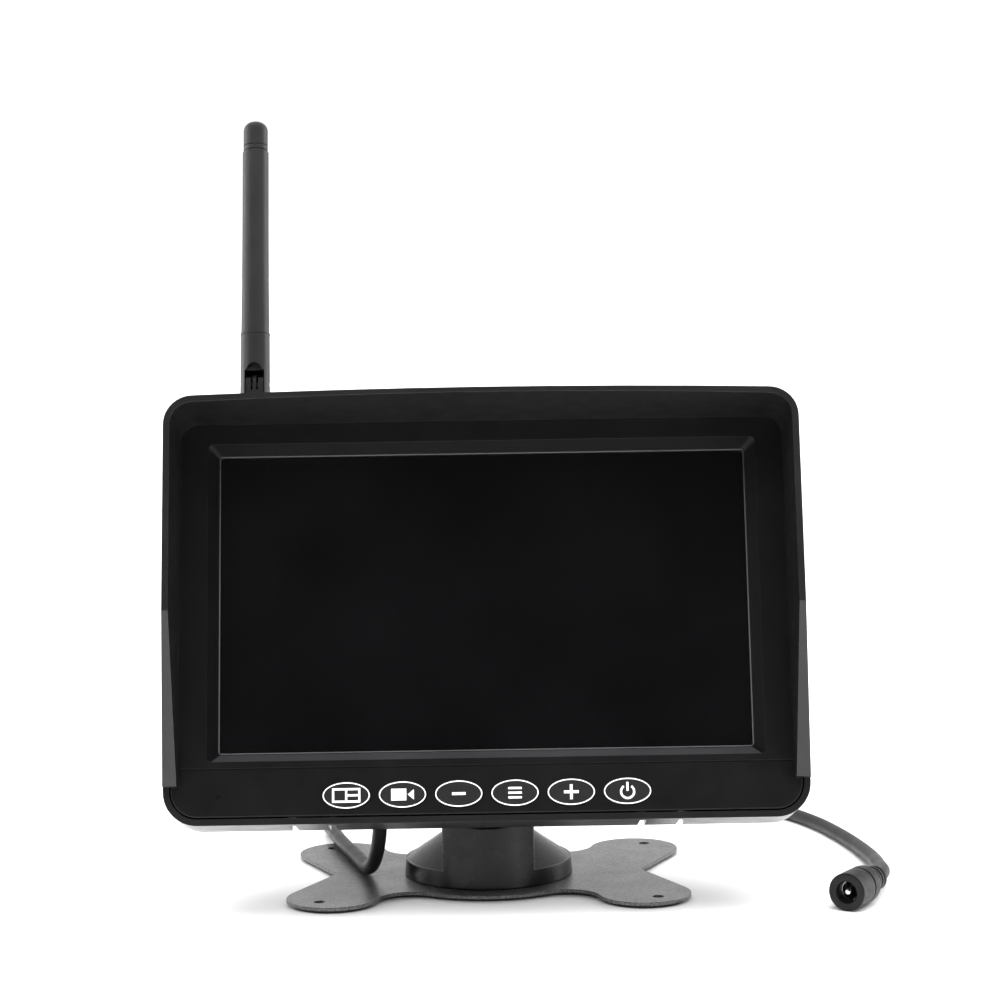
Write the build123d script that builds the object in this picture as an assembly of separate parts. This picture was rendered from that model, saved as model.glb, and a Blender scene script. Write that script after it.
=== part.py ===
from build123d import *
from math import asin, atan2, cos, degrees, radians, sin, sqrt
import os

# Dash-top wireless reversing monitor on a swivelling, tilting stand. Millimetres.
# Row frame: +Z up, the screen faces -Y, the origin is on the floor under the swivel axis.
# Monitor frame: the same axes before the monitor is tilted back, with the origin at the middle
# of the screen opening. Pieces of the monitor are drawn there and placed by in_monitor().

# ---- driving sizes -------------------------------------------------------------------------
TILT = 17.0                 # how far the screen leans back at rest, degrees
HINGE_HEIGHT = 55.5         # tilt axis above the floor
HINGE_BACK = 44.0           # tilt axis behind the screen opening
HINGE_BELOW = 24.2          # tilt axis below the middle of the screen

OPENING_W, OPENING_H, OPENING_R = 156.0, 88.6, 1.5
CASE_W, CASE_R = 188.0, 10.0
CASE_TOP, CASE_BOTTOM = 57.8, -65.7
CASE_FRONT, CASE_BACK = -4.6, 17.0
CASE_WALL = 1.9
FACE_FRONT = -5.0           # front face of the bezel
FACE_THICK = 2.6
SEAM = 0.4                  # groove between the bezel and the case
RUNNING = 0.1               # radial clearance round a turning pin
SLIP = 0.2                  # clearance round a sliding or dropped-in piece

HUMP_W, HUMP_TOP, HUMP_BOTTOM, HUMP_BACK = 172.0, 52.0, -54.0, 28.0
HUMP_WALL, HUMP_R, HUMP_SLOPE = 2.0, 6.0, 7.0

HOOD_REACH = 27.0           # depth of the sun hood in front of the face
HOOD_ROOT_WALL, HOOD_RIM_WALL = 4.6, 1.9
HOOD_SIDE_TAPER, HOOD_TOP_TAPER, HOOD_CROWN = 2.4, 2.0, 1.2
HOOD_R = 8.5
HOOD_END = -54.6            # bottom end of the hood's side walls
HOOD_STEP = -7.0            # where the side walls start to run back
HOOD_END_REACH = 4.5

KEY_NAMES = ["mode", "channel", "minus", "menu", "plus", "power"]
KEY_PITCH, KEY_W, KEY_H = 16.3, 13.9, 7.8
KEY_RISE = 5.8              # middle of the keys above the bottom edge of the bezel
KEY_PROUD, KEY_TRAVEL = 0.3, 0.35
KEY_FLANGE, KEY_FLANGE_THICK = 0.6, 0.8
SWITCH_SIZE, SWITCH_THICK, PLUNGER_R = 6.0, 3.4, 1.6
BOARD_THICK = 1.6

SCREW_X, SCREW_Z, SCREW_R, SCREW_HEAD_R = 87.2, 38.0, 1.5, 2.8
DOT_X, DOT_Z, DOT_R = -78.0, -57.1, 0.65

LCD_W, LCD_H, LCD_THICK = 162.0, 94.0, 1.2
BACKLIGHT_W, BACKLIGHT_H, BACKLIGHT_THICK = 165.0, 99.0, 4.0

ANTENNA_X, ANTENNA_Y = -69.8, 22.5
THREAD_R = 3.1              # quarter-inch antenna thread
NUT_FLATS, NUT_THICK = 8.0, 2.0
JACK_FLATS = 6.8            # hexagon of the jack inside the case
BARREL_R, BARREL_H = 4.7, 8.0
PIVOT_ABOVE = 20.5          # antenna hinge above the top of the hump
FORK_R, FORK_TOP_R, FORK_ABOVE, FORK_BELOW = 4.65, 4.5, 15.8, 6.9
SLOT_W, SLOT_RISE, SLOT_BACK = 5.9, 4.0, 3.35
ARCH_R, ARCH_DEPTH = 2.4, 2.0
FIN_R, SIDE_FIN_TOP, PIN_R = 3.0, 1.8, 1.0
SHEATH_LOW_R, SHEATH_TOP_R, SHEATH_H = 4.4, 4.05, 59.5
CAP_R, CAP_H, GROOVE = 3.8, 10.1, 0.35

TONGUE_W, TONGUE_R = 12.0, 7.5
EAR_W, EAR_R = 4.8, 8.0
BOLT_R, BOLT_NUT_R, BOLT_NUT_THICK = 2.5, 4.6, 4.0
KNOB_R, KNOB_THICK, KNOB_LOBES = 9.5, 10.0, 8
RAIL_HALF, RAIL_THICK, RAIL_LIP = 15.3, 3.6, 6.3
TEE_THICK, TEE_H = 3.6, 34.0
RAIL_DEPTH = 4.3

PAD_THICK, PLATE_THICK = 1.0, 1.0
HUB_R, LOBE_R, LOBE_X, LOBE_Y = 33.0, 14.0, 46.8, 31.0
NOTCH_X, NOTCH_R, BRIDGE_R = 47.5, 1.6, 10.0
HOLE_X, HOLE_Y, HOLE_R = 50.5, 37.0, 1.7
PAD_INSET = 1.6

RING_R, RING_H, RING_DRAFT = 26.0, 4.9, 0.4
CONE_TOP_R, CONE_TOP_Z = 13.0, 15.5
COLUMN_W = 28.0
SHOULDER_Z, COLUMN_TOP_Z = 20.5, 44.0
RIVET_R, RIVET_HEAD_R, RIVET_HEAD_THICK = 2.5, 5.0, 0.6
WASHER_R, WASHER_THICK = 9.0, 0.6
PLATE_GAP = 0.15

CABLE_D = 4.4
GLAND_X, GLAND_LENGTH = -32.7, 12.0
GLAND_ROOT_R, GLAND_END_R = 4.0, 2.9
SOCKET_FACE = (104.7, -51.7, 5.7)
SOCKET_YAW = 31.0
SOCKET_R, SOCKET_BODY, SOCKET_COLLAR, SOCKET_RELIEF = 5.65, 8.6, 5.4, 8.4
SOCKET_BORE_R, SOCKET_BORE_DEPTH, SOCKET_PIN_R = 3.0, 9.0, 1.0
SOCKET_MOUTH_R, SOCKET_CONTACT_START = 3.4, 3.5

# ---- places that follow from the sizes -----------------------------------------------------
TILT_COS, TILT_SIN = cos(radians(TILT)), sin(radians(TILT))
SCREEN_Y = -(HINGE_BACK * TILT_COS - HINGE_BELOW * TILT_SIN)
SCREEN_Z = HINGE_HEIGHT + HINGE_BACK * TILT_SIN + HINGE_BELOW * TILT_COS
MONITOR = Location((0, SCREEN_Y, SCREEN_Z), (-TILT, 0, 0))
PLATE_TOP = PAD_THICK + PLATE_THICK
FACE_BACK = FACE_FRONT + FACE_THICK
BEZEL_W = CASE_W - 2 * (CASE_WALL + SEAM)
BEZEL_TOP = CASE_TOP - CASE_WALL - SEAM
BEZEL_BOTTOM = CASE_BOTTOM + CASE_WALL + SEAM
KEY_Z = BEZEL_BOTTOM + KEY_RISE
BEZEL_R = CASE_R - CASE_WALL - SEAM
LCD_FRONT = 1.1
BACKLIGHT_FRONT = LCD_FRONT + LCD_THICK + 0.1
SWITCH_FRONT = 0.2
KEY_BOARD_FRONT = SWITCH_FRONT + SWITCH_THICK
PLUNGER_FRONT = SWITCH_FRONT - 0.65
KEY_STEM_END = PLUNGER_FRONT - KEY_TRAVEL - 0.05
KEY_FLANGE_FRONT = FACE_BACK + 0.1
ANTENNA_SEAT = HUMP_TOP
PIVOT_Z = ANTENNA_SEAT + PIVOT_ABOVE
FORK_TOP = PIVOT_Z + FORK_ABOVE
SHEATH_TOP = FORK_TOP + SHEATH_H
SOCKET_AXIS = Vector(sin(radians(SOCKET_YAW)), cos(radians(SOCKET_YAW)), 0)
SOCKET_END = Vector(*SOCKET_FACE) + SOCKET_AXIS * (SOCKET_BODY + SOCKET_COLLAR + SOCKET_RELIEF)

parts = {}


# ---- helpers -------------------------------------------------------------------------------
def facing(x=0.0, y=0.0, z=0.0):
    """A sketch plane seen from the front: its X is +X, its Y is +Z, it looks towards -Y."""
    return Plane(origin=(x, y, z), x_dir=(1, 0, 0), z_dir=(0, -1, 0))


def slab(width, low, high, front, back, radius):
    """A plate with rounded corners in X and Z, from front to back along Y."""
    outline = RectangleRounded(width, high - low, radius)
    return extrude(facing(0, back, (low + high) / 2) * outline, back - front)


def block(x, y, z):
    """A box from three (low, high) pairs."""
    centre = ((x[0] + x[1]) / 2, (y[0] + y[1]) / 2, (z[0] + z[1]) / 2)
    return Pos(*centre) * Box(x[1] - x[0], y[1] - y[0], z[1] - z[0])


def rod_y(x, z, radius, front, back):
    return extrude(facing(x, back, z) * Circle(radius), back - front)


def rod_x(y, z, radius, left, right):
    return extrude(Plane(origin=(left, y, z), x_dir=(0, 1, 0), z_dir=(1, 0, 0)) * Circle(radius),
                   right - left)


def rod_z(x, y, radius, low, high, top_radius=None):
    if top_radius is None:
        return Pos(x, y, (low + high) / 2) * Cylinder(radius, high - low)
    return Pos(x, y, (low + high) / 2) * Cone(radius, top_radius, high - low)


def profile_x(points, half_width):
    """A prism along X, symmetrical about X = 0, from (y, z) points."""
    side = make_face(Polyline([(y, z) for y, z in points], close=True))
    plane = Plane(origin=(-half_width, 0, 0), x_dir=(0, 1, 0), z_dir=(1, 0, 0))
    return extrude(plane * side, 2 * half_width)


def in_monitor(shape):
    return MONITOR * shape


def keep(name, shape):
    parts[name] = shape


def turned(points):
    """A solid of revolution about +Z from (radius, height) points."""
    outline = make_face(Plane.XZ * Polyline(points, close=True))
    return revolve(outline, Axis.Z)


# ---- monitor case --------------------------------------------------------------------------
def oval(width, height):
    return Ellipse(width / 2, height / 2)


def key_x(index):
    return (index - (len(KEY_NAMES) - 1) / 2) * KEY_PITCH


def window_funnel():
    """The sloped surround of the screen, with a narrow flat lip round the opening."""
    lip, side, top = 0.45, 3.3, 3.0
    inner = facing() * RectangleRounded(OPENING_W + 2 * lip, OPENING_H + 2 * lip, OPENING_R)
    outer = facing(0, FACE_FRONT - 0.01) * RectangleRounded(OPENING_W + 2 * side, OPENING_H + 2 * top,
                                                            OPENING_R)
    return loft([inner, outer], ruled=True)


def front_bezel():
    window_half_w, window_half_h, window_back = 84.0, 50.0, 1.0
    skirt_wall, skirt_back = 1.2, 3.0
    boss_r, boss_back = 2.7, 6.0
    body = slab(BEZEL_W, BEZEL_BOTTOM, BEZEL_TOP, FACE_FRONT, FACE_BACK, BEZEL_R)
    body = fillet(body.faces().sort_by(Axis.Y)[0].edges(), 0.4)
    skirt = slab(BEZEL_W, BEZEL_BOTTOM, BEZEL_TOP, FACE_BACK - 0.2, skirt_back, BEZEL_R)
    skirt -= slab(BEZEL_W - 2 * skirt_wall, BEZEL_BOTTOM + skirt_wall, BEZEL_TOP - skirt_wall,
                  FACE_BACK - 0.3, skirt_back + 0.1, BEZEL_R - skirt_wall)
    body += skirt
    body += slab(2 * window_half_w, -window_half_h, window_half_h, FACE_BACK - 0.2, window_back, 2.0)
    for x in (-SCREW_X, SCREW_X):
        for z in (-SCREW_Z, SCREW_Z):
            body += rod_y(x, z, boss_r, FACE_BACK - 0.2, boss_back)
            body -= rod_y(x, z, SCREW_R, FACE_BACK + 0.6, boss_back + 0.1)
    body -= window_funnel()
    body -= slab(OPENING_W, -OPENING_H / 2, OPENING_H / 2, FACE_FRONT, window_back + 0.1, OPENING_R)
    for index in range(len(KEY_NAMES)):
        hole = oval(KEY_W + 2 * SLIP, KEY_H + 2 * SLIP)
        body -= extrude(facing(key_x(index), FACE_BACK + 0.1, KEY_Z) * hole, FACE_THICK + 0.2)
    body -= rod_y(DOT_X, DOT_Z, DOT_R + RUNNING, FACE_FRONT - 0.1, FACE_BACK + 0.1)
    line_z, line_w, line_deep = -49.4, 0.3, 0.25
    body -= block((-BEZEL_W / 2 + 2.2, BEZEL_W / 2 - 2.2), (FACE_FRONT - 0.1, FACE_FRONT + line_deep),
                  (line_z - line_w / 2, line_z + line_w / 2))
    for prong in hood_prongs(SLIP):
        body -= prong
    return body


def rear_case():
    inside_front, floor = CASE_FRONT - 0.1, CASE_BACK - CASE_WALL
    body = slab(CASE_W, CASE_BOTTOM, CASE_TOP, CASE_FRONT, CASE_BACK, CASE_R)
    body = fillet(body.faces().sort_by(Axis.Y)[-1].edges(), 1.6)
    body += hump(0.0, CASE_BACK - 0.5, HUMP_BACK)
    body -= slab(CASE_W - 2 * CASE_WALL, CASE_BOTTOM + CASE_WALL, CASE_TOP - CASE_WALL,
                 inside_front, floor, CASE_R - CASE_WALL)
    body -= hump(HUMP_WALL, floor - 0.5, HUMP_BACK - HUMP_WALL)
    body += screw_posts(floor)
    body -= screw_holes()
    body -= snap_slots()
    body -= vents()
    body += tee_rails()
    body -= rod_z(ANTENNA_X, ANTENNA_Y, THREAD_R + RUNNING, HUMP_TOP - HUMP_WALL - 1, HUMP_TOP + 1)
    body -= gland_shape(SLIP)
    return body


def hump(inset, front, back):
    """The raised back of the case, or its hollow when inset, sloped at the foot for the cable."""
    shape = slab(HUMP_W - 2 * inset, HUMP_BOTTOM + inset, HUMP_TOP - inset, front, back,
                 HUMP_R - inset)
    if inset == 0:
        shape = fillet(shape.faces().sort_by(Axis.Y)[-1].edges(), 1.6)
    far = 60.0
    slope = inset * (sqrt(2) - 1)
    corner_y, corner_z = HUMP_BACK - inset, HUMP_BOTTOM + inset
    run = HUMP_SLOPE - slope
    shape -= profile_x([(corner_y - run, corner_z), (corner_y, corner_z + run),
                        (corner_y + far, corner_z + run), (corner_y + far, corner_z - far),
                        (corner_y - run, corner_z - far)], HUMP_W)
    return shape


def screw_posts(floor):
    posts = None
    for x in (-SCREW_X, SCREW_X):
        for z in (-SCREW_Z, SCREW_Z):
            post = rod_y(x, z, SCREW_R + 1.9, 6.2, floor + 0.5)
            posts = post if posts is None else posts + post
    return posts


def screw_holes():
    holes = None
    for x in (-SCREW_X, SCREW_X):
        for z in (-SCREW_Z, SCREW_Z):
            hole = rod_y(x, z, SCREW_R + RUNNING, 6.0, CASE_BACK + 0.1)
            hole += rod_y(x, z, SCREW_HEAD_R + RUNNING, 13.0, CASE_BACK + 0.1)
            holes = hole if holes is None else holes + hole
    return holes


def snap_slots():
    """Slots through the bottom wall and out at the back, in pairs with a springy tab between."""
    slot_w, tab_w, pair_x, rise = 2.0, 9.4, 51.1, 3.0
    slots = None
    for side in (-1, 1):
        for edge in (-1, 1):
            x = side * pair_x + edge * (tab_w + slot_w) / 2
            slot = block((x - slot_w / 2, x + slot_w / 2), (0.0, CASE_BACK + 0.1),
                         (CASE_BOTTOM - 0.1, CASE_BOTTOM + rise))
            slots = slot if slots is None else slots + slot
    return slots


def vents():
    count, pitch, width, height = 9, 5.0, 2.0, 13.0
    slots = None
    for x0 in (-46.0, 46.0):
        for z0 in (-28.0, 30.0):
            for index in range(count):
                x = x0 + (index - (count - 1) / 2) * pitch
                slot = slab(width, z0 - height / 2, z0 + height / 2, HUMP_BACK - HUMP_WALL - 0.1,
                            HUMP_BACK + 0.1, width / 2 - 0.01)
                slot = Pos(x, 0, 0) * slot
                slots = slot if slots is None else slots + slot
    return slots


def tee_rails():
    """Two L rails, closed at the top, that slide down over the tee of the tilt head."""
    top = -HINGE_BELOW + TEE_H / 2 + SLIP
    bottom = -HINGE_BELOW - TEE_H / 2 + 2.0
    cap = 3.0
    back = HUMP_BACK + RAIL_DEPTH
    rails = None
    for side in (-1, 1):
        outer, inner = side * (RAIL_HALF + RAIL_THICK), side * RAIL_HALF
        lip = side * (RAIL_HALF - RAIL_LIP)
        wall = block(sorted((inner, outer)), (HUMP_BACK - 0.5, back + 2.2), (bottom, top + cap))
        wall += block(sorted((lip, outer)), (back, back + 2.2), (bottom, top + cap))
        rails = wall if rails is None else rails + wall
    half = RAIL_HALF + RAIL_THICK
    return rails + block((-half, half), (HUMP_BACK - 0.5, back + 2.2), (top, top + cap))


def gland_shape(extra):
    """The cable's strain relief, square to the sloped foot of the case."""
    mid_y = HUMP_BACK - HUMP_SLOPE / 2
    mid_z = HUMP_BOTTOM + HUMP_SLOPE / 2
    seat = Plane(origin=(GLAND_X, mid_y, mid_z), x_dir=(1, 0, 0), z_dir=(0, 1, -1))
    inside, flange = 3.0, 1.0
    shape = Pos(0, 0, -inside / 2) * Cylinder(GLAND_ROOT_R - 0.6 + extra, inside + 0.02)
    if extra:
        return seat * shape
    shape += Pos(0, 0, flange / 2) * Cylinder(GLAND_ROOT_R + 0.6, flange)
    shape += Pos(0, 0, -inside - 0.5) * Cylinder(GLAND_ROOT_R + 0.4, 1.0)
    body = GLAND_LENGTH - flange
    shape += Pos(0, 0, flange + body / 2) * Cone(GLAND_ROOT_R, GLAND_END_R, body)
    grooves = 4
    for index in range(grooves):
        height = flange + 2.2 + index * 2.2
        radius = GLAND_ROOT_R - (GLAND_ROOT_R - GLAND_END_R) * (height - flange) / body
        ring = Pos(0, 0, height) * Cylinder(radius + 1, 0.9)
        ring -= Pos(0, 0, height) * Cylinder(radius - 0.5, 0.9)
        shape -= ring
    return seat * shape


def hood_outline(y, half, top, crown, radius, bottom):
    """The hood's outline at one depth: straight sides, round corners and a crowned top."""
    inset = radius * (1 - cos(radians(45)))
    right_low, right_high = (half, bottom), (half, top - radius)
    right_mid, right_top = (half - inset, top - inset), (half - radius, top)
    left_low, left_high = (-half, bottom), (-half, top - radius)
    left_mid, left_top = (-half + inset, top - inset), (-half + radius, top)
    edges = Line(left_low, right_low) + Line(right_low, right_high)
    edges += ThreePointArc(right_high, right_mid, right_top)
    edges += ThreePointArc(right_top, (0, top + crown), left_top)
    edges += ThreePointArc(left_top, left_mid, left_high)
    edges += Line(left_high, left_low)
    return facing(0, y) * make_face(edges)


def sun_hood():
    root_y, rim_y = FACE_FRONT, FACE_FRONT - HOOD_REACH
    root_half, rim_half = CASE_W / 2, CASE_W / 2 - HOOD_SIDE_TAPER
    rim_top = CASE_TOP - HOOD_TOP_TAPER
    outer = loft([hood_outline(root_y, root_half, CASE_TOP, 0.2, CASE_R, HOOD_END),
                  hood_outline(rim_y, rim_half, rim_top, HOOD_CROWN, HOOD_R, HOOD_END)], ruled=True)
    deep = HOOD_END - 20
    inner = loft([hood_outline(root_y, root_half - HOOD_ROOT_WALL, CASE_TOP - HOOD_ROOT_WALL, 0.2,
                               CASE_R - HOOD_ROOT_WALL, deep),
                  hood_outline(rim_y, rim_half - HOOD_RIM_WALL, rim_top - HOOD_RIM_WALL,
                               HOOD_CROWN + 0.4, HOOD_R - HOOD_RIM_WALL, deep)], ruled=True)
    far = 30.0
    cut = profile_x([(rim_y, HOOD_STEP), (root_y - HOOD_END_REACH, HOOD_END),
                     (root_y - HOOD_END_REACH, HOOD_END - far), (rim_y - far, HOOD_END - far),
                     (rim_y - far, HOOD_STEP)], CASE_W)
    hood = outer - inner - cut
    for prong in hood_prongs(0.0):
        hood += prong
    return hood


def hood_prongs(extra):
    """Tongues under the hood's root that plug into slots along the bezel's edge."""
    wide, thick, deep = 8.0, 1.3, 2.0
    top_z = CASE_TOP - HOOD_ROOT_WALL + 1.2
    side_x = CASE_W / 2 - HOOD_ROOT_WALL + 1.2
    back = FACE_FRONT + deep + (1.0 if extra else 0.0)
    prongs = []
    for x in (-45.0, 45.0):
        prongs.append(block((x - wide / 2 - extra, x + wide / 2 + extra), (FACE_FRONT - 0.3, back),
                            (top_z - thick / 2 - extra, top_z + thick / 2 + extra)))
    for x in (-side_x, side_x):
        prongs.append(block((x - thick / 2 - extra, x + thick / 2 + extra), (FACE_FRONT - 0.3, back),
                            (8.0 - wide / 2 - extra, 8.0 + wide / 2 + extra)))
    return prongs


# ---- inside the case -----------------------------------------------------------------------
def backlight():
    body = slab(BACKLIGHT_W, -BACKLIGHT_H / 2, BACKLIGHT_H / 2, BACKLIGHT_FRONT,
                BACKLIGHT_FRONT + BACKLIGHT_THICK, 1.0)
    return body - slab(BACKLIGHT_W - 12, -BACKLIGHT_H / 2 + 6, BACKLIGHT_H / 2 - 6,
                       BACKLIGHT_FRONT + BACKLIGHT_THICK - 0.6,
                       BACKLIGHT_FRONT + BACKLIGHT_THICK + 0.1, 2.0)


def key_cap(index):
    x = key_x(index)
    front = FACE_FRONT - KEY_PROUD
    cap = extrude(facing(x, KEY_FLANGE_FRONT + 0.1, KEY_Z) * oval(KEY_W, KEY_H),
                  KEY_FLANGE_FRONT + 0.1 - front)
    cap = fillet(cap.faces().sort_by(Axis.Y)[0].edges(), 0.12)
    flange = oval(KEY_W + 2 * KEY_FLANGE, KEY_H + 2 * KEY_FLANGE)
    flange_front = KEY_FLANGE_FRONT
    cap += extrude(facing(x, flange_front + KEY_FLANGE_THICK, KEY_Z) * flange, KEY_FLANGE_THICK)
    cap += rod_y(x, KEY_Z, 1.2, flange_front + 0.3, KEY_STEM_END)
    return cap


def tact_switches():
    switches = []
    for index in range(len(KEY_NAMES)):
        x = key_x(index)
        half = SWITCH_SIZE / 2
        body = block((x - half, x + half), (SWITCH_FRONT, KEY_BOARD_FRONT),
                     (KEY_Z - half, KEY_Z + half))
        body += rod_y(x, KEY_Z, PLUNGER_R, PLUNGER_FRONT, SWITCH_FRONT + 0.1)
        switches.append(body)
    return switches[0] + switches[1:]


def key_board():
    half, margin = abs(key_x(0)) + 10.0, 1.2
    return block((-half, half), (KEY_BOARD_FRONT, KEY_BOARD_FRONT + BOARD_THICK),
                 (BEZEL_BOTTOM + margin + 0.2, -BACKLIGHT_H / 2 - 0.8))


MAIN_BOARD_FRONT = 15.4
RF_BOX = ((-66.0, -44.0), (MAIN_BOARD_FRONT + BOARD_THICK, MAIN_BOARD_FRONT + BOARD_THICK + 3.0),
          (20.0, 42.0))


def main_board():
    board = slab(140.0, -38.0, 44.0, MAIN_BOARD_FRONT, MAIN_BOARD_FRONT + BOARD_THICK, 2.0)
    for x in (-66.0, 66.0):
        for z in (-34.0, 40.0):
            board -= rod_y(x, z, 1.6, MAIN_BOARD_FRONT - 0.1, MAIN_BOARD_FRONT + BOARD_THICK + 0.1)
    return board


def board_parts():
    """The larger components on the main board: chips, coils, capacitors and sockets."""
    face = MAIN_BOARD_FRONT + BOARD_THICK
    chips = [((-14.0, 2.0), (-2.0, 14.0), 1.4), ((14.0, 24.0), (2.0, 12.0), 1.2),
             ((32.0, 42.0), (-22.0, -12.0), 4.5), ((-40.0, -30.0), (-30.0, -24.0), 3.0)]
    pieces = [block(x, (face, face + high), z) for x, z, high in chips]
    for x, z in ((50.0, -26.0), (50.0, -14.0), (-54.0, -24.0)):
        pieces.append(rod_y(x, z, 3.2, face, face + 6.5))
    return pieces[0] + pieces[1:]


def rf_coax():
    """Thin lead from the radio box to the back of the antenna jack."""
    lead_r = 0.65
    y = RF_BOX[1][1] + lead_r + 0.1
    route = FilletPolyline((-56.0, y, 30.0), (-64.0, y, 33.0), (ANTENNA_X, ANTENNA_Y, 38.0),
                           (ANTENNA_X, ANTENNA_Y, JACK_LOW), radius=2.0)
    section = Plane(origin=route @ 0, z_dir=route % 0) * Circle(lead_r)
    return sweep(section, path=route)


def case_screws():
    screws = []
    for x in (-SCREW_X, SCREW_X):
        for z in (-SCREW_Z, SCREW_Z):
            screw = rod_y(x, z, SCREW_R - 0.02, -1.0, 13.2)
            head = rod_y(x, z, SCREW_HEAD_R, 13.0, 15.0)
            head -= block((x - 1.9, x + 1.9), (14.0, 15.1), (z - 0.35, z + 0.35))
            head -= block((x - 0.35, x + 0.35), (14.0, 15.1), (z - 1.9, z + 1.9))
            screws.append(screw + head)
    return screws[0] + screws[1:]


# ---- antenna -------------------------------------------------------------------------------
JACK_LOW = ANTENNA_SEAT - 9.0
JACK_TOP = ANTENNA_SEAT + 7.0
NUT_LOW = ANTENNA_SEAT
BARREL_LOW = NUT_LOW + NUT_THICK + 0.4
BARREL_TOP = BARREL_LOW + BARREL_H


def hexagon(flats, low, high, bore):
    shape = extrude(Plane.XY.offset(low) * RegularPolygon(flats / 2, 6, major_radius=False),
                    high - low)
    shape -= Pos(0, 0, (low + high) / 2) * Cylinder(bore, high - low + 1)
    return Pos(ANTENNA_X, ANTENNA_Y, 0) * shape


def antenna_jack():
    under = ANTENNA_SEAT - HUMP_WALL
    jack = rod_z(ANTENNA_X, ANTENNA_Y, THREAD_R, JACK_LOW, JACK_TOP)
    jack += Pos(ANTENNA_X, ANTENNA_Y, 0) * extrude(
        Plane.XY.offset(under - 2.5) * RegularPolygon(JACK_FLATS / 2, 6, major_radius=False), 2.5)
    return jack - rod_z(ANTENNA_X, ANTENNA_Y, 2.0, JACK_TOP - 4.0, JACK_TOP + 0.1)


def antenna_barrel():
    """The knurled nut that screws onto the jack and lets the antenna turn on it."""
    ridges, ridge_r = 24, 0.35
    barrel = rod_z(0, 0, BARREL_R - 0.25, BARREL_LOW, BARREL_TOP)
    for index in range(ridges):
        angle = index * 360 / ridges
        ridge = rod_z(BARREL_R - ridge_r, 0, ridge_r, BARREL_LOW + 0.6, BARREL_TOP - 0.6)
        barrel += Rot(0, 0, angle) * ridge
    barrel -= rod_z(0, 0, THREAD_R + RUNNING, BARREL_LOW - 0.1, JACK_TOP + 0.5)
    return Pos(ANTENNA_X, ANTENNA_Y, 0) * barrel


def antenna_knuckle():
    """Neck and three hinge fins; the middle fin stands a little higher than the outer two."""
    neck_top = BARREL_TOP + 2.0
    fin_half = SLOT_W / 2 - SLIP
    knuckle = rod_z(0, 0, 3.6, BARREL_TOP, neck_top)
    knuckle += block((-fin_half, fin_half), (-FIN_R, FIN_R), (neck_top - 0.5, PIVOT_Z - 2.2))
    middle_half, gap = 0.55, 0.6
    for side in (-1, 1):
        span = sorted((side * (middle_half + gap), side * fin_half))
        fin = rod_x(0, PIVOT_Z, FIN_R, *span)
        fin += block(span, (-FIN_R, FIN_R), (PIVOT_Z - 3.0, PIVOT_Z))
        knuckle += fin - block(span, (-FIN_R, FIN_R), (PIVOT_Z + SIDE_FIN_TOP, PIVOT_Z + FIN_R + 1))
    knuckle += rod_x(0, PIVOT_Z, FIN_R, -middle_half, middle_half)
    knuckle += block((-middle_half, middle_half), (-FIN_R, FIN_R), (PIVOT_Z - 3.0, PIVOT_Z))
    knuckle -= rod_x(0, PIVOT_Z, PIN_R + 0.03, -SLOT_W, SLOT_W)
    return Pos(ANTENNA_X, ANTENNA_Y, 0) * knuckle


def antenna_fork():
    """Foot of the mast, slotted at the front so that it folds forward, with an arched recess."""
    lower = PIVOT_Z - FORK_BELOW
    front = FORK_R + 1.0
    fork = rod_z(0, 0, FORK_R, lower, FORK_TOP, FORK_TOP_R)
    slot_top = PIVOT_Z + SLOT_RISE
    fork -= block((-SLOT_W / 2, SLOT_W / 2), (-front, SLOT_BACK), (lower - 1, slot_top))
    arch = Pos(0, -front, slot_top - 0.3) * (Rot(90, 0, 0) * Cylinder(ARCH_R, 2 * (front - FORK_R + ARCH_DEPTH)))
    fork -= arch
    return Pos(ANTENNA_X, ANTENNA_Y, 0) * (fork - rod_x(0, PIVOT_Z, PIN_R, -6, 6))


def antenna_sheath():
    """Hollow rubber sleeve, flared towards its foot, with a small moulded lip."""
    lip = 0.5
    height, flare = SHEATH_TOP - FORK_TOP, SHEATH_LOW_R - SHEATH_TOP_R
    waist = [(0.0, 1.0), (0.18, 0.68), (0.4, 0.27), (0.68, 0.1), (1.0, 0.0)]
    side = Spline(*[(SHEATH_TOP_R + flare * share, 0, FORK_TOP + height * part) for part, share in waist])
    rest = Polyline(side @ 1, (0, 0, SHEATH_TOP), (0, 0, FORK_TOP), side @ 0)
    sheath = revolve(make_face([side, rest]), Axis.Z)
    sheath += rod_z(0, 0, FORK_TOP_R + 0.1, FORK_TOP, FORK_TOP + lip)
    sheath -= rod_z(0, 0, 2.4, FORK_TOP + 2.0, SHEATH_TOP + 0.1)
    return Pos(ANTENNA_X, ANTENNA_Y, 0) * sheath


def antenna_cap():
    groove_w, groove_pitch, dome_r = 0.4, 1.6, 3.0
    top = SHEATH_TOP + CAP_H
    cap = turned([(0, SHEATH_TOP), (CAP_R, SHEATH_TOP), (CAP_R, top), (0, top)])
    cap = fillet(cap.edges().filter_by(GeomType.CIRCLE).sort_by(Axis.Z)[-1], dome_r)
    for index in range(2):
        height = SHEATH_TOP + 0.3 + index * groove_pitch
        ring = rod_z(0, 0, CAP_R + 1, height, height + groove_w)
        cap -= ring - rod_z(0, 0, CAP_R - GROOVE, height - 0.1, height + groove_w + 0.1)
    plug = rod_z(0, 0, 2.3, SHEATH_TOP - 4.0, SHEATH_TOP + 0.1)
    return Pos(ANTENNA_X, ANTENNA_Y, 0) * (cap + plug)


def antenna_element():
    low, high = FORK_TOP + 2.1, SHEATH_TOP - 4.5
    middle = (low + high) / 2
    element = rod_z(0, 0, 0.8, low, high) + rod_z(0, 0, 2.1, low + 4, middle)
    return Pos(ANTENNA_X, ANTENNA_Y, 0) * element


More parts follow.
